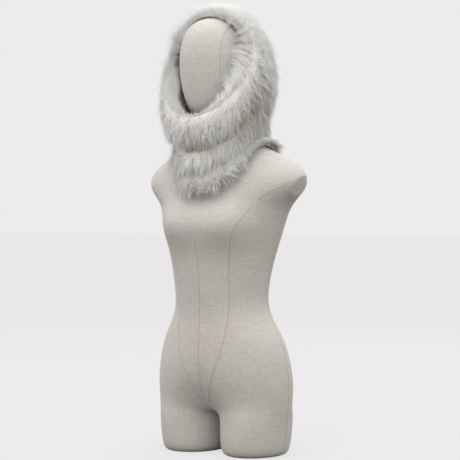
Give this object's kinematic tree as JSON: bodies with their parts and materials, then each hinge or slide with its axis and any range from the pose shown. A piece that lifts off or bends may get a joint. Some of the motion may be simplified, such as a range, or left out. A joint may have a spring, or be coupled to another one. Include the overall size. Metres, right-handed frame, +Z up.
{
  "type": "fur collar wrap on a limbless dress form",
  "caption": "Long-pile fur snood collar worn as a hood over the egg head of a limbless cloth-covered dress form that stands on two short thigh stubs.",
  "frame": {"origin": "on the surface it stands on, under the middle of the whole part's box", "axes": "+Z up along the dress form, -Y to the wearer's front, +X to the wearer's left"},
  "size_m": [0.393, 0.2654, 0.9628],
  "materials": {
    "white_fur": "long white pile with taupe roots, soft sheen",
    "lining_cloth": "tan woven lining, matte",
    "form_cover": "pale linen weave, matte"
  },
  "bodies": {
    "root": {"fur_hood": "white_fur", "fur_neck_band": "white_fur", "fur_hem_band": "white_fur", "lining": "lining_cloth", "form_body": "form_cover"}
  },
  "joints": []
}
